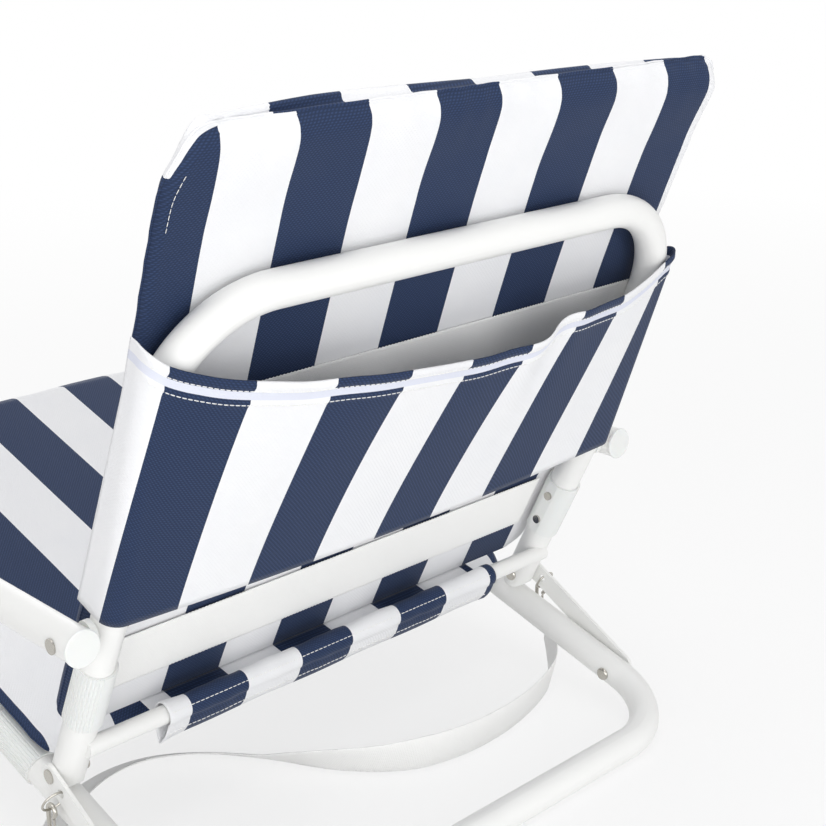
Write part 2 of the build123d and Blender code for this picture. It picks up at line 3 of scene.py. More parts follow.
import bpy
import numpy as np
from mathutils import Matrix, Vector


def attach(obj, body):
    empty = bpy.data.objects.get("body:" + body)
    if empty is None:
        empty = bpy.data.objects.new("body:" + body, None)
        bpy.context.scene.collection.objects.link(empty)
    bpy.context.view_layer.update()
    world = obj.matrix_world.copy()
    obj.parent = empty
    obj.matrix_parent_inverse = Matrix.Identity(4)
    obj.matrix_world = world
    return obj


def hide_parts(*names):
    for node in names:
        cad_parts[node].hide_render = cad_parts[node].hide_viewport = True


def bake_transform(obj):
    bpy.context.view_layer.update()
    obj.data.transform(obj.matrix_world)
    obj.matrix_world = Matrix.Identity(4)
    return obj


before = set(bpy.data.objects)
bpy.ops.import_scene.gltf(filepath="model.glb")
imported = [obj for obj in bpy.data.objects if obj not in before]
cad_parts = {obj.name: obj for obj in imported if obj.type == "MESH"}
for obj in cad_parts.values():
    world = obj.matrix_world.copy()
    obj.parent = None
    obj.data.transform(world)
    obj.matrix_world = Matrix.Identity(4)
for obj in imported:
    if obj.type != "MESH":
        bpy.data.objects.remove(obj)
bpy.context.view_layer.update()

scene = bpy.context.scene


# The frame is bent steel tube, 25 mm across, with flat steel strips as links.
# Tubes and strips are sprayed with white powder and baked after bending and
# drilling. They stay as the solid model has them.
def linear(hex_code):
    """Linear colour with alpha from an sRGB hex value."""
    channels = [int(hex_code[i : i + 2], 16) / 255 for i in (1, 3, 5)]
    curve = [c / 12.92 if c <= 0.04045 else ((c + 0.055) / 1.055) ** 2.4 for c in channels]
    return (*curve, 1.0)


def add(tree, kind, settings=None, links=None):
    """New node with its settings, by attribute or by socket, and its incoming links."""
    made = tree.nodes.new(kind)
    for key, value in (settings or {}).items():
        if isinstance(key, str) and hasattr(made, key):
            setattr(made, key, value)
        else:
            made.inputs[key].default_value = value
    for key, source in (links or {}).items():
        tree.links.new(source, made.inputs[key])
    return made


def new_finish(name, roughness, metallic=0.0):
    finish = bpy.data.materials.new(name)
    finish.use_nodes = True
    shader = finish.node_tree.nodes["Principled BSDF"]
    shader.inputs["Roughness"].default_value = roughness
    shader.inputs["Metallic"].default_value = metallic
    return finish, finish.node_tree, shader


def mottled(name, pale, deep, roughness, grain_mm, relief_mm, metallic=0.0):
    """Finish of one colour with a slow drift in tone and a fine grain in its surface."""
    drift_mm = 60
    finish, tree, shader = new_finish(name, roughness, metallic)
    place = add(tree, "ShaderNodeTexCoord").outputs["Object"]
    drift = add(tree, "ShaderNodeTexNoise", {"Scale": 1000 / drift_mm, "Detail": 3.0}, {"Vector": place})
    tone = add(
        tree,
        "ShaderNodeMix",
        {"data_type": "RGBA", 6: linear(pale), 7: linear(deep)},
        {0: drift.outputs["Fac"]},
    )
    tree.links.new(tone.outputs[2], shader.inputs["Base Color"])
    grain = add(tree, "ShaderNodeTexNoise", {"Scale": 1000 / grain_mm, "Detail": 2.0}, {"Vector": place})
    relief = add(
        tree,
        "ShaderNodeBump",
        {"Strength": 0.25, "Distance": relief_mm / 1000},
        {"Height": grain.outputs["Fac"]},
    )
    tree.links.new(relief.outputs["Normal"], shader.inputs["Normal"])
    return finish


def both_sides(*parts):
    return [f"{part}_{side}" for part in parts for side in ("left", "right")]


def paint(finish, *names):
    for name in names:
        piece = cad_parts[name]
        if not piece.material_slots:
            piece.data.materials.append(finish)
        for spot in piece.material_slots:
            spot.material = finish


# Baked powder on steel gives a nearly even satin white with soft highlights.
# Its orange peel is about 2 mm from crest to crest.
powder_coat = mottled("powder_coated_steel", "#F3F3F1", "#EEEEEC", roughness=0.38, grain_mm=2.0, relief_mm=0.08)
paint(powder_coat, "rear_leg_frame", "seat_frame", "back_arch", "crossbar", "front_leg")
paint(powder_coat, *both_sides("back_lower_tube", "arm", "link_strip", "front_link_strip"))

# Coupler sleeves, arm end caps and arm spacers are moulded in white nylon.
# They push onto the tubes, and the sleeves are held there by screws.
# Moulded nylon looks duller than the coat and a little waxy, as light enters it.
moulded_nylon = mottled("moulded_white_nylon", "#F0F0EE", "#EAEAE7", roughness=0.45, grain_mm=0.9, relief_mm=0.03)
moulded_nylon.node_tree.nodes["Principled BSDF"].inputs["Subsurface Weight"].default_value = 0.05
paint(moulded_nylon, "arm_spacers")
paint(moulded_nylon, *both_sides("rail_coupler", "back_coupler", "arm_rear_cap", "arm_front_cap"))

# Rivets, screws, bolts, split rings and snap hooks are turned or bent steel,
# plated with bright nickel. The plate is a warm grey mirror, and handling leaves
# fine scuffs in it that soften what it reflects.
nickel_plate = mottled(
    "bright_nickel_plate", "#C9C6BF", "#A9A69E", roughness=0.24, grain_mm=0.6, relief_mm=0.02, metallic=1.0
)
paint(nickel_plate, "back_coupler_screws", "rail_coupler_screws", "arm_pivot_bolts", "arm_front_rivets")
paint(nickel_plate, "back_pivot_rivets", "link_rail_rivets", "front_link_rivets", "front_leg_rivets")
paint(nickel_plate, *both_sides("split_ring", "snap_hook", "hook_gate", "swivel_barrel", "strap_eye"))

# Webbing bands of white polypropylene, woven flat, run across the frame behind
# the pad and under the seat. Their ends are sewn to the cover at the tubes, and
# the heat-cut edges show each weft thread as a tiny tooth.
mm = 0.001
back_pivot = np.array([118.862, 88.461]) * mm
lower_angle = math.radians(64.6)
upper_angle = math.radians(70.9)
kink_up = 196 * mm
kink_half = 40 * mm
back_reach_mm = 560
steps = np.arange(back_reach_mm + 1) * mm
turn = np.clip((steps - kink_up + kink_half) / (2 * kink_half), 0, 1)
heading = lower_angle + (upper_angle - lower_angle) * turn
mid_heading = 0.5 * (heading[1:] + heading[:-1])
run = np.concatenate(([0], np.cumsum(np.cos(mid_heading)))) * mm
rise = np.concatenate(([0], np.cumsum(np.sin(mid_heading)))) * mm


def on_back(up, rear, x):
    """Point at a length up the back tubes from their pivot, and behind their axis."""
    angle = np.interp(up, steps, heading)
    y = back_pivot[0] + np.interp(up, steps, run) + rear * np.sin(angle)
    z = back_pivot[1] + np.interp(up, steps, rise) - rear * np.cos(angle)
    return np.stack(np.broadcast_arrays(x, y, z), axis=-1)


def before_back(up, depth, x):
    return on_back(up, -depth, x)


rail_start = np.array([296.1, 12.5]) * mm
rail_slope = math.radians(15.3)


def on_rail(along, above, x):
    """Point at a length up the seat rails from the rear floor bar, and above their axis."""
    y = rail_start[0] - along * math.cos(rail_slope) + above * math.sin(rail_slope)
    z = rail_start[1] + along * math.sin(rail_slope) + above * math.cos(rail_slope)
    return np.stack(np.broadcast_arrays(x, y, z), axis=-1)


def new_piece(name, points, faces, finish, fields=None):
    """Smooth mesh with one finish; fields are numbers held at its points for the finish to read."""
    mesh = bpy.data.meshes.new(name)
    mesh.from_pydata(np.asarray(points).reshape(-1, 3).tolist(), [], faces)
    for field, values in (fields or {}).items():
        layer = mesh.attributes.new(field, "FLOAT", "POINT")
        layer.data.foreach_set("value", np.asarray(values, np.float32).ravel())
    mesh.shade_smooth()
    mesh.materials.append(finish)
    piece = bpy.data.objects.new(name, mesh)
    scene.collection.objects.link(piece)
    return piece


def grid_faces(rows, cols, first=0, flip=False, wrap=False):
    faces = []
    for i in range(rows - 1):
        here, there = first + i * cols, first + (i + 1) * cols
        for j in range(cols if wrap else cols - 1):
            k = (j + 1) % cols
            quad = [here + j, here + k, there + k, there + j]
            faces.append(quad[::-1] if flip else quad)
    return faces


def flat_ring(across, thick):
    """Outline of a flat band's cut end: places across it, with a height above or below its middle."""
    return list(zip(across, thick)) + [(a, -t) for a, t in zip(across[::-1], thick[::-1])]


def wave_scale(pitch_mm):
    """Scale at which a wave texture's bands lie one pitch apart."""
    return 2 * math.pi / 20 * 1000 / pitch_mm


# Woven polypropylene is bright and nearly matt, with ribs whose crests catch
# the light. Its warp threads are 1.3 mm apart, and its weft threads lie wider.
warp_scale = wave_scale(1.3)
weft_scale = warp_scale * 0.8
webbing, tree, shader = new_finish("woven_polypropylene", roughness=0.62)
shader.inputs["Sheen Weight"].default_value = 0.2
place = add(tree, "ShaderNodeTexCoord").outputs["Object"]
warp = add(
    tree,
    "ShaderNodeTexWave",
    {"bands_direction": "X", "Scale": warp_scale, "Distortion": 0.4},
    {"Vector": place},
)
weft = add(
    tree,
    "ShaderNodeTexWave",
    {"bands_direction": "Z", "Scale": weft_scale, "Distortion": 0.4},
    {"Vector": place},
)
crest_relief_and_highlight = add(
    tree,
    "ShaderNodeMath",
    {"operation": "MULTIPLY"},
    {0: warp.outputs["Fac"], 1: weft.outputs["Fac"]},
).outputs["Value"]
# The tone is paler on the crests of the weave: a painted highlight where the ribs catch the light, laid over their
# real relief.
tone = add(tree, "ShaderNodeMix", {"data_type": "RGBA", 6: linear("#F9F9F7"), 7: linear("#FDFDFC")}, {0: crest_relief_and_highlight})
tree.links.new(tone.outputs[2], shader.inputs["Base Color"])
relief = add(tree, "ShaderNodeBump", {"Strength": 0.5, "Distance": 0.0004}, {"Height": crest_relief_and_highlight})
tree.links.new(relief.outputs["Normal"], shader.inputs["Normal"])

band_gap = 12.8 * mm
band_half_thick = 0.7 * mm
weft_step = 1.5 * mm
tooth_reach = 0.35 * mm
edge_from = 0.45


def webbing_band(node, at, middle, half_width, width, body):
    """Band with toothed edges; at(along, depth, x) places it, middle is where it lies along."""
    cols = int(2 * half_width / weft_step)
    x = np.linspace(-half_width, half_width, cols)
    tooth = np.where(np.arange(cols) % 2 == 0, tooth_reach, -tooth_reach)
    across = np.array([-0.5, -0.47, -0.3, -0.1, 0.1, 0.3, 0.47, 0.5])
    thick = np.array([0.25, 0.6, 0.7, 0.7, 0.7, 0.7, 0.6, 0.25]) * mm
    ring = flat_ring(across, thick)
    lines = []
    for a, t in ring:
        edge = tooth * np.sign(a) * (abs(a) > edge_from)
        lines.append(at(middle + (a * width + edge), band_gap + band_half_thick + t, x))
    points = np.array(lines).transpose(1, 0, 2)
    first_end = list(range(len(ring)))[::-1]
    last_end = [(cols - 1) * len(ring) + k for k in range(len(ring))]
    faces = grid_faces(cols, len(ring), wrap=True) + [first_end, last_end]
    piece = new_piece(node + "_weave", points, faces, webbing)
    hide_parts(node)
    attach(piece, body)


webbing_band("lower_back_band", before_back, 83 * mm, 219.5 * mm, 54 * mm, "back")
webbing_band("upper_back_band", before_back, 289 * mm, 235.5 * mm, 50 * mm, "back")
webbing_band("rear_seat_band", on_rail, 310 * mm, 235.5 * mm, 50 * mm, "base")
webbing_band("front_seat_band", on_rail, 430 * mm, 235.5 * mm, 50 * mm, "base")

# Seat and back pads are foam sheets in a sewn cover of woven polyester, striped
# navy and white along their length. A front and a rear panel meet in one corded
# seam round a rounded edge, and the foam lifts the front face into a low crown.
stripe_width_mm = 57
stripe_first_mm = 92
stripe_first = stripe_first_mm * mm
stripe_next = (stripe_first_mm + stripe_width_mm) * mm


def striped_cloth(name, hem_tape=False):
    """Twill of dyed yarn; the stripe follows a field that holds the place across the cloth."""
    # Polyester twill is nearly matt, with a faint sheen. The navy's yarn crests carry a
    # painted highlight; the white is plain, with a slow drift in tone.
    finish, tree, shader = new_finish(name, roughness=0.7)
    shader.inputs["Sheen Weight"].default_value = 0.1
    shader.inputs["Sheen Roughness"].default_value = 0.4
    shader.inputs["Specular IOR Level"].default_value = 0.3
    across = add(tree, "ShaderNodeAttribute", {"attribute_name": "stripe_x"}).outputs["Fac"]
    offset = add(tree, "ShaderNodeMath", {"operation": "SUBTRACT", 1: stripe_first}, {0: across})
    wrapped = add(
        tree,
        "ShaderNodeMath",
        {"operation": "WRAP", 1: 2 * stripe_width_mm * mm, 2: 0.0},
        {0: offset.outputs["Value"]},
    )
    navy = add(
        tree,
        "ShaderNodeMath",
        {"operation": "LESS_THAN", 1: stripe_width_mm * mm},
        {0: wrapped.outputs["Value"]},
    )
    length = add(tree, "ShaderNodeAttribute", {"attribute_name": "cloth_y"}).outputs["Fac"]
    lie = add(tree, "ShaderNodeCombineXYZ", None, {0: across, 1: length}).outputs["Vector"]
    # Real yarns are 0.4 mm apart; they are drawn at 1.5 mm so that they show.
    yarn_scale = wave_scale(1.5)
    twill = add(
        tree,
        "ShaderNodeTexWave",
        {"bands_direction": "DIAGONAL", "Scale": yarn_scale, "Distortion": 0.8, "Detail": 1.0},
        {"Vector": lie},
    )
    pick = add(
        tree,
        "ShaderNodeTexWave",
        {"bands_direction": "Y", "Scale": yarn_scale, "Distortion": 0.6},
        {"Vector": lie},
    )
    yarn = add(
        tree,
        "ShaderNodeMath",
        {"operation": "MULTIPLY"},
        {0: twill.outputs["Fac"], 1: pick.outputs["Fac"]},
    ).outputs["Value"]
    drift_mm = 35
    place = add(tree, "ShaderNodeTexCoord").outputs["Object"]
    drift = add(tree, "ShaderNodeTexNoise", {"Scale": 1000 / drift_mm, "Detail": 4.0}, {"Vector": place})
    # The navy is painted paler on the yarn crests, a painted highlight over the twill's real relief.
    deep = add(tree, "ShaderNodeMix", {"data_type": "RGBA", 6: linear("#1A2A47"), 7: linear("#2F4268")}, {0: yarn})
    pale = add(
        tree,
        "ShaderNodeMix",
        {"data_type": "RGBA", 6: linear("#EBECEF"), 7: linear("#F1F1F2")},
        {0: drift.outputs["Fac"]},
    )
    colour = add(
        tree,
        "ShaderNodeMix",
        {"data_type": "RGBA"},
        {0: navy.outputs["Value"], 6: pale.outputs[2], 7: deep.outputs[2]},
    ).outputs[2]
    if hem_tape:
        # A pale tape shows between two depths below the pocket's mouth.
        depth = add(tree, "ShaderNodeAttribute", {"attribute_name": "from_mouth"}).outputs["Fac"]
        below = add(tree, "ShaderNodeMath", {"operation": "GREATER_THAN", 1: 8 * mm}, {0: depth})
        above = add(tree, "ShaderNodeMath", {"operation": "LESS_THAN", 1: 14 * mm}, {0: depth})
        tape = add(
            tree,
            "ShaderNodeMath",
            {"operation": "MULTIPLY"},
            {0: below.outputs["Value"], 1: above.outputs["Value"]},
        )
        colour = add(
            tree,
            "ShaderNodeMix",
            {"data_type": "RGBA", 7: linear("#DDE0EC")},
            {0: tape.outputs["Value"], 6: colour},
        ).outputs[2]
    tree.links.new(colour, shader.inputs["Base Color"])
    relief = add(tree, "ShaderNodeBump", {"Strength": 0.35, "Distance": 0.0004}, {"Height": yarn})
    tree.links.new(relief.outputs["Normal"], shader.inputs["Normal"])
    return finish


pad_cover = striped_cloth("striped_polyester_cover")


def puff(piece, pins, caps):
    """Swells a sewn cover by air pressure, holds its seams, and caps how far each point goes."""
    air_pressure = 4.0
    last_frame = 20
    rest = np.array([v.co for v in piece.data.vertices])
    seams = piece.vertex_groups.new(name="seams")
    seams.add(pins, 1.0, "REPLACE")
    cloth = piece.modifiers.new("puff", "CLOTH")
    cloth.settings.vertex_group_mass = "seams"
    cloth.settings.use_pressure = True
    cloth.settings.uniform_pressure_force = air_pressure
    cloth.settings.effector_weights.gravity = 0.0
    cloth.settings.quality = 4
    for step in range(1, last_frame + 1):
        scene.frame_set(step)
    graph = bpy.context.evaluated_depsgraph_get()
    swollen = np.array([v.co for v in piece.evaluated_get(graph).data.vertices])
    piece.modifiers.remove(cloth)
    piece.vertex_groups.remove(seams)
    scene.frame_set(1)
    move = swollen - rest
    length = np.linalg.norm(move, axis=1, keepdims=True) + 1e-9
    move *= np.minimum(1.0, caps[:, None] / length)
    piece.data.vertices.foreach_set("co", (rest + move).ravel())
    piece.data.update()


def bead(loop, radius):
    """Points and faces of a thin closed cord along a loop of points."""
    sides = 6
    ahead = np.roll(loop, -1, axis=0) - np.roll(loop, 1, axis=0)
    ahead /= np.linalg.norm(ahead, axis=1, keepdims=True)
    guide = np.cross(ahead, np.array([0.31, 0.87, 0.38]))
    guide /= np.linalg.norm(guide, axis=1, keepdims=True)
    other = np.cross(ahead, guide)
    points, faces = [], []
    for centre, u, v in zip(loop, guide, other):
        for k in range(sides):
            a = 2 * math.pi * k / sides
            points.append(centre + radius * (u * math.cos(a) + v * math.sin(a)))
    for i in range(len(loop)):
        here, there = i * sides, (i + 1) % len(loop) * sides
        for k in range(sides):
            m = (k + 1) % sides
            faces.append([here + k, here + m, there + m, there + k])
    return np.array(points), faces


edge_draw = 6 * mm
crown_power = 2.6
end_crowding = 0.85
pucker_height = 0.45 * mm
pucker_reach = 9 * mm
seam_radius = 0.8 * mm
seam_level = 0.5


def sewn_pad(node, place, shape, stripe, caps, body):
    """Cover sewn from a rear and a front panel and a rounded edge; shape gives its outline and depths."""
    rows, across, round_cols = 84, 90, 9
    start, end = shape["start"], shape["end"]
    u = np.linspace(0, 1, rows)
    crowded = u - end_crowding * np.sin(2 * math.pi * u) / (2 * math.pi)
    s = (start + (end - start) * crowded)[:, None]
    left, right = shape["sides"](s)

    # One row of points runs over the rear panel, the left edge, the front panel
    # and the right edge.
    p = np.linspace(-1, 1, across)
    swing = np.radians(np.linspace(-90, 90, round_cols + 2)[1:-1])
    spread = np.concatenate([p, np.ones(round_cols), p[::-1], -np.ones(round_cols)])
    nose = np.concatenate([0 * p, np.cos(swing), 0 * p, -np.cos(swing)])
    through = np.concatenate([0 * p, 0.5 + 0.5 * np.sin(swing), 0 * p + 1, 0.5 - 0.5 * np.sin(swing)])
    crown = np.concatenate([0 * p, 0 * swing, 1 - np.abs(p) ** crown_power, 0 * swing])
    x = spread * (np.where(spread > 0, left, right) - edge_draw) + edge_draw * nose
    x = x + shape["spill"](s, x) * through
    front = np.broadcast_to(through == 1, x.shape)
    rear, edge, rise = shape["depths"](s)
    edge_gap = np.abs(np.where(x > 0, left - x, right + x))
    pucker = np.exp(-edge_gap / pucker_reach) * np.sin(s / (4.3 * mm) + 9 * np.sin(s / (31 * mm)))
    depth = rear + edge * through + rise * crown + pucker_height * pucker * (2 * front - 1)
    depth = depth + shape["sway"](s, x) * (1 - through)
    along = s + shape["lift"](s, x) * through
    points = place(along, depth, x)

    # The two ends are closed between the panels and at the rounded edges.
    count = len(spread)
    faces = grid_faces(rows, count, wrap=True)
    front_cols = [2 * across + round_cols - 1 - k for k in range(across)]
    left_cols = list(range(across - 1, across + round_cols + 1))
    right_cols = [0] + list(range(count - 1, count - 1 - round_cols, -1)) + [front_cols[0]]
    for first, flip in ((0, True), ((rows - 1) * count, False)):
        for k in range(across - 1):
            quad = [first + k, first + k + 1, first + front_cols[k + 1], first + front_cols[k]]
            faces.append(quad if flip else quad[::-1])
        faces += [[first + k for k in cols] for cols in (left_cols, right_cols)]
    fields = {"stripe_x": stripe(along, x, np.broadcast_to(through, x.shape)), "cloth_y": along}
    piece = new_piece(node + "_cover", points, faces, pad_cover, fields)

    # The seams at the edges and ends hold while the cover swells.
    grid = np.arange(rows * count).reshape(rows, count)
    mid_left, mid_right = across + round_cols // 2, count - 1 - round_cols // 2
    pins = np.concatenate([grid[:, mid_left], grid[:, mid_right], grid[0], grid[-1]])
    puff(piece, pins.tolist(), caps(along, front).ravel())
    soften = piece.modifiers.new("soften", "SUBSURF")
    soften.levels = soften.render_levels = 1
    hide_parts(node)
    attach(piece, body)

    # The corded seam follows the middle of the edge all the way round.
    ends = [0.5 * (points[row, :across] + points[row, front_cols]) for row in (0, -1)]
    loop = np.concatenate([points[:, mid_left], ends[1][::-1], points[::-1, mid_right], ends[0]])
    loop_s = np.concatenate([s[:, 0], np.full(across, end), s[::-1, 0], np.full(across, start)])
    seam_points, seam_faces = bead(loop, seam_radius)
    per_point = len(seam_points) // len(loop)
    seam_s = np.repeat(loop_s, per_point)
    seam_x = np.repeat(loop[:, 0], per_point)
    fields = {"stripe_x": stripe(seam_s, seam_x, 0 * seam_s + seam_level), "cloth_y": seam_s}
    seam = new_piece(node + "_seam", seam_points, seam_faces, pad_cover, fields)
    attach(seam, body)
    held = np.array([v.co for v in piece.data.vertices]).reshape(rows, count, 3)
    return held[:, across - 1], s[:, 0]


pad_rear_face = 15.4 * mm
edge_depth = 11 * mm
crown_depth = 15 * mm
corner_radius = 24 * mm
low_roll = 25 * mm


def end_round(gap, roll):
    """Share of the full depth that a rounded end has reached, at a distance from its tip."""
    q = np.clip(gap / roll, 0, 1)
    return np.sqrt(1 - (1 - q) ** 2)


def corner_cut(gap, radius):
    """How far a rounded corner has drawn in a side, at a distance from the end."""
    return radius * (1 - end_round(gap, radius))


def ramp(value, start, length):
    """Rises from 0 to 1 over a length from its start."""
    return np.clip((value - start) / length, 0, 1)


def front_cap(s, start):
    """How far the front panel may swell, less near the pad's low end."""
    return 0.6 * mm + 2.4 * mm * ramp(s, start, 170 * mm)


seat_start, seat_end, seat_half = 208.5 * mm, 635 * mm, 239.5 * mm
seat_front_roll = 16 * mm


def seat_sides(s):
    half = seat_half - corner_cut(s - seat_start, corner_radius) - corner_cut(seat_end - s, corner_radius)
    return half, half


def seat_depths(s):
    rear_end = end_round(s - seat_start, low_roll)
    front_end = end_round(seat_end - s, seat_front_roll)
    edge = edge_depth * (0.08 + 0.92 * rear_end) * (0.08 + 0.92 * front_end)
    rise = crown_depth * rear_end * (0.2 + 0.8 * front_end)
    return pad_rear_face + 0 * s, edge, rise


def level(s, x):
    return 0 * x


# The seat's stripes are narrower than those of the back.
seat_stripe_mm = 51.3
seat_stripe_x = 30 * mm


def seat_stripe(s, x, through):
    return stripe_first + (x - seat_stripe_x) * (stripe_width_mm / seat_stripe_mm)


def seat_caps(s, front):
    return np.where(front, front_cap(s, seat_start), 0.3 * mm)


seat_form = {
    "start": seat_start,
    "end": seat_end,
    "sides": seat_sides,
    "depths": seat_depths,
    "sway": level,
    "lift": level,
    "spill": level,
}
sewn_pad("seat_pad", on_rail, seat_form, seat_stripe, seat_caps, "base")

back_start, back_end = 22.5 * mm, 500.5 * mm
back_left, back_right = 240 * mm, 247.5 * mm
head_left_radius = 50 * mm
head_roll = 20 * mm
rear_up = np.array([0, 420, 435, 455, 470, 481, 488, 494, 498, 501]) * mm
rear_depth = np.array([15.4, 15.4, 14.8, 12.9, 11.8, 11.4, 12.0, 14.4, 18.0, 22.5]) * mm


def back_sides(s):
    low_cut = corner_cut(s - back_start, corner_radius)
    left = back_left - low_cut - corner_cut(back_end - s, head_left_radius)
    wide = 6.5 * mm * ramp(s, 300 * mm, 150 * mm)
    right = back_right + wide - low_cut - corner_cut(back_end - s, corner_radius)
    return left, right


def back_depths(s):
    low_end = end_round(s - back_start, low_roll)
    head = end_round(back_end - s, head_roll)
    rear = np.interp(s, rear_up, rear_depth)
    low_fill = 6 * mm * np.clip((240 * mm - s) / (90 * mm), 0, 1)
    full = edge_depth + low_fill + pad_rear_face - np.minimum(rear, pad_rear_face)
    edge = full * (0.08 + 0.92 * low_end) * (0.05 + 0.95 * head)
    return rear, edge, crown_depth * low_end * head


# The front panel stands up above the seam along the head, more on the left.
def head_lift(s, x):
    reach = 9 * mm + 6 * mm * np.clip((x + 20 * mm) / (150 * mm), 0, 1)
    return reach * np.sin(math.pi * np.clip((back_end - s) / head_roll, 0, 1))


# At the head's left corner the front panel is folded round the corner of the rear one.
def head_spill(s, x):
    corner = np.sin(math.pi * np.clip((back_end + 4 * mm - s) / (52 * mm), 0, 1))
    return 4 * mm * corner * ramp(x, 120 * mm, 90 * mm)


# The head leans back a little more on the right, and the seam gathers its cloth.
def head_sway(s, x):
    height = np.interp(s, np.array([0, 425, 455, 485, 501]) * mm, [0, 0, 1, 1, 0.4])
    tilt = np.interp(s, np.array([0, 330, 480, 501]) * mm, [0, 0, 1, 0.4])
    lean = -6 * mm * tilt * ramp(-x, 40 * mm, 200 * mm)
    folds = np.sin(x / (4.6 * mm) + 4 * np.sin(x / (37 * mm)))
    gather = 0.7 * mm * np.exp((s - back_end) / (16 * mm)) * folds
    slack = 0.7 * mm * height * np.sin(x / (21 * mm) + s / (17 * mm))
    return lean + gather + slack


# The two panels were not cut to match, so the front's stripes sit to one side.
front_shift = 16 * mm
fold_up, fold_x = 472 * mm, 150 * mm


def back_stripe(s, x, through):
    low = np.clip((230 * mm - s) / (120 * mm), 0, 1)
    rear_field = x + low * (stripe_next + (x - 153 * mm) * 1.0755 - x)
    rear_field = rear_field + 0.2 * (1 - low) * np.minimum(x + 193 * mm, 0)
    front_field = np.where(x > 165 * mm, stripe_next + 0.55 * (x - 165 * mm), x - front_shift)
    folded = (s > fold_up) & (x > fold_x)
    return np.where(through > np.where(folded, 0.25, 0.99), front_field, rear_field)


def back_caps(s, front):
    return np.where(front, front_cap(s, back_start), 0.3 * mm + 1.2 * mm * ramp(s, 425 * mm, 30 * mm))


back_form = {
    "start": back_start,
    "end": back_end,
    "sides": back_sides,
    "depths": back_depths,
    "sway": head_sway,
    "lift": head_lift,
    "spill": head_spill,
}
left_edge, left_edge_up = sewn_pad("back_pad", before_back, back_form, back_stripe, back_caps, "back")

# The pocket is one width of the striped cloth, sewn round both back tubes and
# closed along its lower edge. Its mouth is turned over twice on a pale tape, held
# by two rows of white stitches, and sags between the tubes with a slack fold.
pocket_finish = striped_cloth("striped_pocket_cloth", hem_tape=True)
tube_x = 237 * mm
wrap_radius = 14.0 * mm
pocket_floor = -29 * mm
pocket_front = 22 * mm
mouth_front = 10 * mm
mouth_fall = 26 * mm
mouth_x = [-252, -240, -215, -178, -125, -100, -75, -62, -10, 55, 85, 113, 140, 172, 203, 234, 242, 250, 252]
mouth_h = [156, 154, 147, 139, 143, 145, 135, 132, 132, 141, 143, 146, 147, 153, 159, 169, 174, 180, 182]
kink_point = back_pivot + kink_up * np.array([math.cos(lower_angle), math.sin(lower_angle)])


def on_back_flat(height, rear, x):
    """Point on the straight upper back: height above the kink, and behind the tube axis."""
    y = kink_point[0] + height * math.cos(upper_angle) + rear * math.sin(upper_angle)
    z = kink_point[1] + height * math.sin(upper_angle) - rear * math.cos(upper_angle)
    return np.stack(np.broadcast_arrays(x, y, z), axis=-1)


# Across, the cloth runs up the left wall, round the left tube, over the middle,
# round the right tube and down the right wall; each column has its own values.
arc = np.linspace(0, math.pi / 2, 9)
wall = np.linspace(-1, 0, 8)[:-1]
span = np.linspace(1, -1, 150)[1:-1]
left_x = np.concatenate([np.full(len(wall), tube_x + wrap_radius), tube_x + wrap_radius * np.cos(arc)])
left_n = np.concatenate([0 * wall, wrap_radius * np.sin(arc)])
left_wall = np.concatenate([wall, 0 * arc])
left_cloth = tube_x + wrap_radius * np.concatenate([math.pi / 2 - 1.2 * wall, math.pi / 2 - arc])
profile_x = np.concatenate([left_x, tube_x * span, -left_x[::-1]])
profile_n = np.concatenate([left_n, np.full(len(span), wrap_radius), left_n[::-1]])
middle = np.concatenate([np.zeros(len(left_x)), 1 - span**2, np.zeros(len(left_x))])
side_wall = np.concatenate([left_wall, np.zeros(len(span)), left_wall[::-1]])
cloth_x = np.concatenate([left_cloth, tube_x * span, -left_cloth[::-1]])
mouth = np.interp(profile_x, np.array(mouth_x) * mm, np.array(mouth_h) * mm)
mouth = mouth + mouth_fall * side_wall * (profile_x < 0)
smooth_cols = 7
mouth = np.convolve(np.pad(mouth, smooth_cols // 2, mode="edge"), np.ones(smooth_cols) / smooth_cols, mode="valid")
fold_middle = -82 * mm
fold_half = 70 * mm


def pocket_point(column, drop):
    """Point on the pocket in one column, a length below its mouth."""
    x = profile_x[column]
    h = mouth[column] - np.minimum(drop, mouth[column] - pocket_floor)
    t = np.clip((h - pocket_floor) / (165 * mm), 0, 1.05)
    slack = 1 - np.abs((x - fold_middle) / fold_half)
    fold = 5 * mm * np.clip(slack, 0, 1) ** 2 * t**3 * np.sin((x - fold_middle) / (11 * mm))
    ripple = 1.0 * mm * middle[column] * t**2 * np.sin(x / (23 * mm) + 5 * t)
    upper_roll = 1.3 * mm * np.exp(-(((drop - 4 * mm) / (2.6 * mm)) ** 2))
    lower_roll = 0.9 * mm * np.exp(-(((drop - 17 * mm) / (2.0 * mm)) ** 2))
    roll = upper_roll + lower_roll
    bulge = (6 * mm + 22 * mm * t**1.3) * middle[column]
    front = pocket_front + (mouth_front - pocket_front) * t
    n = profile_n[column] + side_wall[column] * front + bulge + fold + ripple + roll * (profile_n[column] > 0)
    return on_back_flat(h, n, x)


columns = np.arange(len(profile_x))
reach = mouth - pocket_floor
hem_drop = 25 * mm
row_drops = [np.full(len(columns), d) for d in np.arange(0, 25, 1.5) * mm]
row_drops += [hem_drop + (reach - hem_drop) * t for t in np.linspace(0.02, 1, 30)]
row_drops = np.array(row_drops)
pocket_points = np.array([[pocket_point(c, drops[c]) for c in columns] for drops in row_drops])
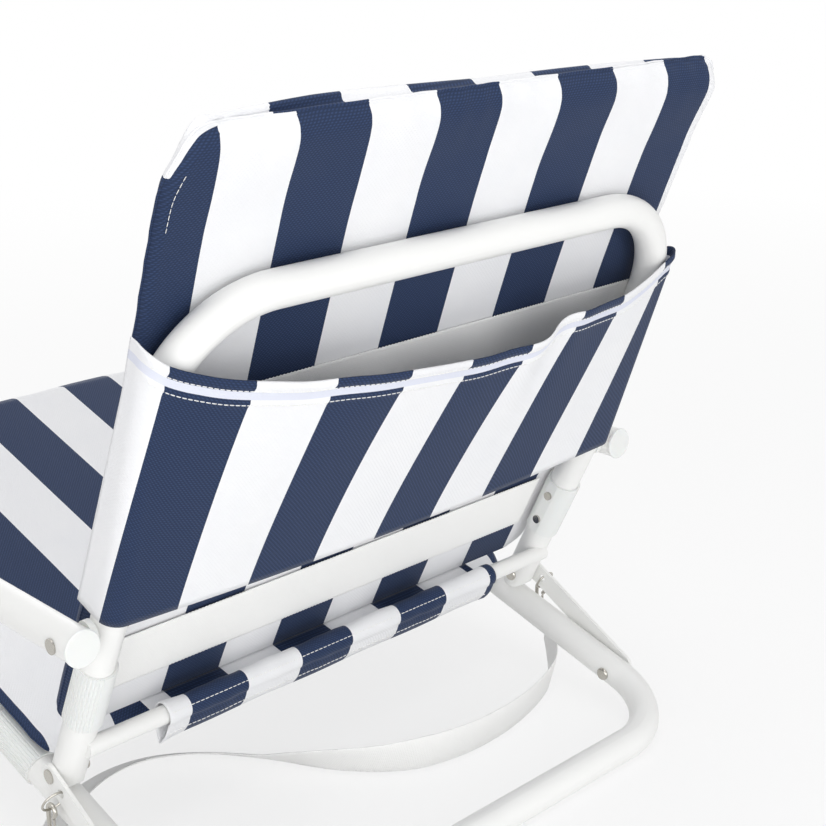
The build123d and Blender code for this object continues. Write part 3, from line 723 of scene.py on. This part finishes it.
# The cloth lies a little askew, so its stripes lean outwards towards the floor.
mouth_shift = 36 * mm - 12 * mm * np.clip((profile_x + 60 * mm) / (260 * mm), 0, 1)
floor_shift = 7 * mm
down = row_drops / reach
pocket_stripe = cloth_x + mouth_shift * (1 - down) + floor_shift * down
pocket = new_piece(
    "pocket_cloth",
    pocket_points,
    grid_faces(len(row_drops), len(columns), flip=True),
    pocket_finish,
    {"stripe_x": pocket_stripe, "cloth_y": row_drops, "from_mouth": row_drops},
)


def thicken(piece, thickness):
    thick = piece.modifiers.new("cloth_thickness", "SOLIDIFY")
    thick.thickness = thickness
    thick.offset = 0.0


thicken(pocket, 1.0 * mm)
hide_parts("pocket")
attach(pocket, "back")

# Stitches are white polyester thread, laid by a lockstitch machine: two rows hold
# the pocket's turned mouth, and one short row closes the back cover on its left.
# The twisted thread makes small bright beads that stand proud of the cloth.
thread, tree, shader = new_finish("white_polyester_thread", roughness=0.55)
place = add(tree, "ShaderNodeTexCoord").outputs["Object"]
twist = add(tree, "ShaderNodeTexWave", {"bands_direction": "DIAGONAL", "Scale": wave_scale(0.8)}, {"Vector": place})
# The tone runs paler and darker along the twist: painted highlight on the plies and painted shade between them.
tone = add(
    tree,
    "ShaderNodeMix",
    {"data_type": "RGBA", 6: linear("#E6E6E4"), 7: linear("#F8F8F6")},
    {0: twist.outputs["Fac"]},
)
tree.links.new(tone.outputs[2], shader.inputs["Base Color"])


def stitch_row(name, lines, radius=0.4 * mm, length=3.4 * mm, gap=0.8 * mm):
    """Piece of short thread spindles laid end to end along lines of points."""
    sides = 5
    stations = np.array([0, 0.15, 0.5, 0.85, 1])
    fullness = (0.35, 0.9, 1.0, 0.9, 0.35)
    points, faces = [], []
    for line in lines:
        track = np.concatenate(([0], np.cumsum(np.linalg.norm(np.diff(line, axis=0), axis=1))))
        for start in np.arange(0, track[-1] - length, length + gap):
            picks = start + length * stations
            core = np.stack([np.interp(picks, track, line[:, k]) for k in range(3)], axis=1)
            ahead = core[-1] - core[0]
            ahead /= np.linalg.norm(ahead)
            u = np.cross(ahead, (0.2, 0.9, 0.4))
            u /= np.linalg.norm(u)
            v = np.cross(ahead, u)
            first = len(points)
            for centre, share in zip(core, fullness):
                for k in range(sides):
                    a = 2 * math.pi * k / sides
                    points.append(centre + radius * share * (u * math.cos(a) + v * math.sin(a)))
            last = first + (len(stations) - 1) * sides
            faces += grid_faces(len(stations), sides, first, wrap=True)
            faces += [[first + k for k in range(sides)][::-1], [last + k for k in range(sides)]]
    piece = new_piece(name, points, faces, thread)
    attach(piece, "back")
    return piece


proud = 0.55 * mm
rear_way = np.array([0, math.sin(upper_angle), -math.cos(upper_angle)])
seen = [c for c in columns if profile_n[c] > 6 * mm]
mouth_lines = [np.array([pocket_point(c, d) + rear_way * proud for c in seen]) for d in (7.5 * mm, 18 * mm)]
pocket_stitches = stitch_row("pocket_stitches", mouth_lines)
closing = left_edge[(left_edge_up > 438 * mm) & (left_edge_up < 478 * mm)] + rear_way * proud
stitch_row("cover_closing_stitches", [closing], radius=0.25 * mm)

# The hem is the tail of the back cover, turned round the crossbar and sewn shut
# with two rows of stitches. Its cut ends are slack and hang a little.
hem_finish = striped_cloth("striped_hem_cloth")
bar_up, bar_rear = 35 * mm, 11 * mm
sleeve_radius = 8.3 * mm
tail_drop = 22.5 * mm
tail_rear = 4.5 * mm
tail_half_gap = 1.0 * mm
hem_left, hem_right = 172 * mm, -168 * mm


def hem_section(x):
    """Loop of the sleeve at one place along the bar: heights up the back and depths behind it."""
    end = ramp(x, 148 * mm, 24 * mm) + 0.6 * np.clip((-150 * mm - x) / (24 * mm), 0, 1)
    creases = 0.3 * mm * np.sin(x / (9 * mm)) + 0.2 * mm * np.sin(x / (3.7 * mm) + 1)
    radius = sleeve_radius + creases + 1.2 * mm * end
    tail = tail_drop + 0.8 * mm * np.sin(x / (17 * mm)) + 4 * mm * end**2
    over = np.radians(np.linspace(230, -25, 30))
    tip_up, tip_rear = bar_up - tail, bar_rear + tail_rear
    round_up = bar_up + radius * np.sin(over)
    round_rear = bar_rear + radius * np.cos(over)
    t = np.linspace(0, 1, 9)[1:]
    bow = 1.4 * mm * np.sin(math.pi * t)
    down_up = round_up[-1] + (tip_up - round_up[-1]) * t
    down_rear = round_rear[-1] + (tip_rear + tail_half_gap - round_rear[-1]) * t + bow
    back_up = tip_up + (round_up[0] - tip_up) * t
    back_rear = tip_rear - tail_half_gap + (round_rear[0] - tip_rear + tail_half_gap) * t - bow
    up = np.concatenate([round_up, down_up, [tip_up - 0.8 * mm], back_up])
    rear = np.concatenate([round_rear, down_rear, [tip_rear], back_rear])
    return up, rear


# A flap leads from the pad's lower seam under the bar to the start of the loop.
flap = np.linspace(1, 0, 7)[:-1]
flap_start_up, flap_start_rear = 23 * mm, -14.6 * mm
hem_points = []
for x in np.linspace(hem_left, hem_right, 170):
    up, rear = hem_section(x)
    flap_up = up[0] + (flap_start_up - up[0]) * flap
    flap_rear = rear[0] + (flap_start_rear - rear[0]) * flap
    hem_points.append(on_back(np.concatenate([flap_up, up]), np.concatenate([flap_rear, rear]), x))
hem_points = np.array(hem_points)
hem_rows, hem_cols = hem_points.shape[:2]
hem_length = np.broadcast_to(np.arange(hem_cols) * 1.5 * mm, (hem_rows, hem_cols))
hem_stripe = stripe_next + (hem_points[..., 0] - 152 * mm) * 1.096
hem = new_piece(
    "hem_cloth",
    hem_points,
    grid_faces(hem_rows, hem_cols, flip=True),
    hem_finish,
    {"stripe_x": hem_stripe, "cloth_y": hem_length},
)
thicken(hem, 0.9 * mm)
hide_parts("hem_sleeve")
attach(hem, "back")
stitched_places = (20, 33)
hem_lines = []
for pick in stitched_places:
    line = []
    for x in np.linspace(hem_left - 3 * mm, hem_right + 3 * mm, 140):
        up, rear = hem_section(x)
        line.append(on_back(up[pick], rear[pick] + proud, x))
    hem_lines.append(np.array(line))
hem_stitches = stitch_row("hem_stitches", hem_lines)

# The carry strap is a length of the same white webbing, sewn into the eyes of two
# swivel hooks. It lies slack on the floor, the left half leaning far over and the
# right half on its edge.
strap_route_mm = (
    (257.2, 118.5),
    (226.0, 71.1),
    (184.0, 39.1),
    (132.0, 32.1),
    (88.0, 56.1),
    (53.0, 102.1),
    (22.0, 152.1),
    (-22.0, 192.1),
    (-78.0, 208.1),
    (-134.0, 207.1),
    (-184.0, 195.1),
    (-228.0, 174.1),
    (-256.8, 134.1),
)
strap_width, strap_thick = 32 * mm, 1.6 * mm
floor_gap = 0.6 * mm
curve = bpy.data.curves.new("strap_line", "CURVE")
curve.dimensions = "3D"
spline = curve.splines.new("NURBS")
spline.points.add(len(strap_route_mm) - 1)
for spot, (x, y) in zip(spline.points, strap_route_mm):
    spot.co = (x * mm, y * mm, 0, 1)
spline.order_u = 3
spline.use_endpoint_u = True
spline.resolution_u = 12
guide_line = bpy.data.objects.new("strap_line", curve)
scene.collection.objects.link(guide_line)
bpy.context.view_layer.update()
line_mesh = bpy.data.meshes.new_from_object(guide_line.evaluated_get(bpy.context.evaluated_depsgraph_get()))
strap_line = np.array([v.co for v in line_mesh.vertices])
bpy.data.objects.remove(guide_line)
bpy.data.meshes.remove(line_mesh)

# Along the strap: how far it leans from upright, how its ends are gathered into
# the eyes, and how they lift to the hooks.
strap_track = np.concatenate(([0], np.cumsum(np.linalg.norm(np.diff(strap_line, axis=0), axis=1))))
share = strap_track / strap_track[-1]
lean_share = [0, 0.1, 0.3, 0.42, 0.5, 0.62, 0.8, 0.92, 1]
lean = np.radians(np.interp(share, lean_share, [56, 62, 60, 54, 30, 8, 12, 12, 6]))
gather = np.interp(share, [0, 0.025, 0.06, 0.94, 0.975, 1], [0.45, 0.75, 1, 1, 0.75, 0.45])
lift = np.interp(share, [0, 0.03, 0.1, 0.16, 0.92, 0.97, 1], [24, 16, 3, 0, 0, 7, 15]) * mm
ahead = np.gradient(strap_line, axis=0)
ahead /= np.linalg.norm(ahead, axis=1, keepdims=True)
aside = np.cross(ahead, (0, 0, 1))
width_way = np.cos(lean)[:, None] * np.array([0, 0, 1]) + np.sin(lean)[:, None] * aside
face_way = np.cross(ahead, width_way)
half = 0.5 * strap_width * gather
centre = strap_line.copy()
centre[:, 2] = half * np.cos(lean) + strap_thick + floor_gap + lift
strap_across = np.array([-1, -0.94, -0.5, 0, 0.5, 0.94, 1])
strap_swell = np.array([0.3, 0.9, 1, 1, 1, 0.9, 0.3]) * 0.5 * strap_thick
strap_ring = flat_ring(strap_across, strap_swell)


def strap_half(name, picks, hook_last):
    """Half of the strap, closed at its hook and open where it meets the other half."""
    points = np.array(
        [[centre[i] + width_way[i] * half[i] * o + face_way[i] * t for o, t in strap_ring] for i in picks]
    )
    sewn_end = list(range(len(strap_ring)))[::-1]
    if hook_last:
        sewn_end = [(len(picks) - 1) * len(strap_ring) + k for k in range(len(strap_ring))]
    faces = grid_faces(len(picks), len(strap_ring), wrap=True) + [sewn_end]
    piece = new_piece(name, points, faces, webbing)
    path = centre[picks]
    if hook_last:
        path = path[::-1]
    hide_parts("carry_strap")
    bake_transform(piece)


meeting = int(np.argmin(np.abs(share - 0.47)))
strap_half(
    "carry_strap_left_half", list(range(0, meeting + 1)), False
)
strap_half(
    "carry_strap_right_half", list(range(meeting, len(centre))), True
)

# Studio: a floor of white paper and pale air round it, lit by broad soft lamps
# overhead, at the left and behind, and by a weaker one in front. The camera stands
# behind the chair's left shoulder.
floor_half = 12.0
floor_mesh = bpy.data.meshes.new("studio_floor")
floor_corners = [(floor_half * i, floor_half * j, 0) for i, j in ((-1, -1), (1, -1), (1, 1), (-1, 1))]
floor_mesh.from_pydata(floor_corners, [], [[0, 1, 2, 3]])
floor = bpy.data.objects.new("studio_floor", floor_mesh)
scene.collection.objects.link(floor)


def seen_directly(tree):
    """1 for rays from the eye and for those in mirrors and glass, 0 for light that falls on pieces."""
    ray = add(tree, "ShaderNodeLightPath")
    gloss = add(
        tree,
        "ShaderNodeMath",
        {"operation": "MAXIMUM"},
        {0: ray.outputs["Is Glossy Ray"], 1: ray.outputs["Is Transmission Ray"]},
    )
    return add(
        tree,
        "ShaderNodeMath",
        {"operation": "MAXIMUM"},
        {0: ray.outputs["Is Camera Ray"], 1: gloss.outputs["Value"]},
    ).outputs["Value"]


# Matt white paper shows soft shadows near the chair and fades into the bright
# background farther away.
near_share, far_share = 0.74, 1.0
fade_from, fade_to = 0.45, 2.4
paper = bpy.data.materials.new("studio_paper")
paper.use_nodes = True
tree = paper.node_tree
tree.nodes.clear()
matt = add(tree, "ShaderNodeBsdfDiffuse", {"Color": linear("#F4F4F4")})
glow = add(tree, "ShaderNodeEmission", {"Color": linear("#FFFFFF"), "Strength": 1.0})
place = add(tree, "ShaderNodeTexCoord").outputs["Object"]
away = add(tree, "ShaderNodeVectorMath", {"operation": "LENGTH"}, {0: place})
fade = add(
    tree,
    "ShaderNodeMapRange",
    {1: fade_from, 2: fade_to, 3: near_share, 4: far_share},
    {0: away.outputs["Value"]},
)
amount = add(
    tree,
    "ShaderNodeMath",
    {"operation": "MULTIPLY"},
    {0: seen_directly(tree), 1: fade.outputs["Result"]},
)
surface = add(
    tree,
    "ShaderNodeMixShader",
    None,
    {0: amount.outputs["Value"], 1: matt.outputs[0], 2: glow.outputs[0]},
)
add(tree, "ShaderNodeOutputMaterial", None, {"Surface": surface.outputs[0]})
floor_mesh.materials.append(paper)

world = bpy.data.worlds.new("studio_air")
world.use_nodes = True
scene.world = world
tree = world.node_tree
tree.nodes.clear()
room = add(tree, "ShaderNodeBackground", {"Color": linear("#FAFAFB"), "Strength": 0.46})
white = add(tree, "ShaderNodeBackground", {"Color": linear("#FFFFFF"), "Strength": 1.0})
surface = add(
    tree,
    "ShaderNodeMixShader",
    None,
    {0: seen_directly(tree), 1: room.outputs[0], 2: white.outputs[0]},
)
add(tree, "ShaderNodeOutputWorld", None, {"Surface": surface.outputs[0]})

lamp_aim = Vector((0.0, 0.1, 0.25))
for name, spot, size, power in (
    ("overhead_softbox", (0.2, 0.2, 2.4), 2.2, 24),
    ("left_softbox", (2.0, 1.6, 0.5), 1.8, 22),
    ("rear_softbox", (0.2, 2.4, 0.4), 1.8, 24),
    ("front_softbox", (-1.4, -2.2, 1.0), 1.8, 14),
):
    lamp = bpy.data.lights.new(name, "AREA")
    lamp.size = size
    lamp.energy = power
    holder = bpy.data.objects.new(name, lamp)
    holder.location = spot
    holder.rotation_euler = (lamp_aim - Vector(spot)).to_track_quat("-Z", "Y").to_euler()
    scene.collection.objects.link(holder)

sensor_mm = 36.0
image_px = 826
focal_px = 1568.6
camera = bpy.data.cameras.new("photo_camera")
camera.sensor_width = sensor_mm
camera.lens = sensor_mm * focal_px / image_px
camera_holder = bpy.data.objects.new("photo_camera", camera)
camera_holder.location = (0.7304, 0.9844, 0.6968)
camera_holder.rotation_euler = Vector((-0.6535, -0.6797, -0.333)).to_track_quat("-Z", "Y").to_euler()
scene.collection.objects.link(camera_holder)
scene.camera = camera_holder
scene.view_settings.view_transform = "Standard"
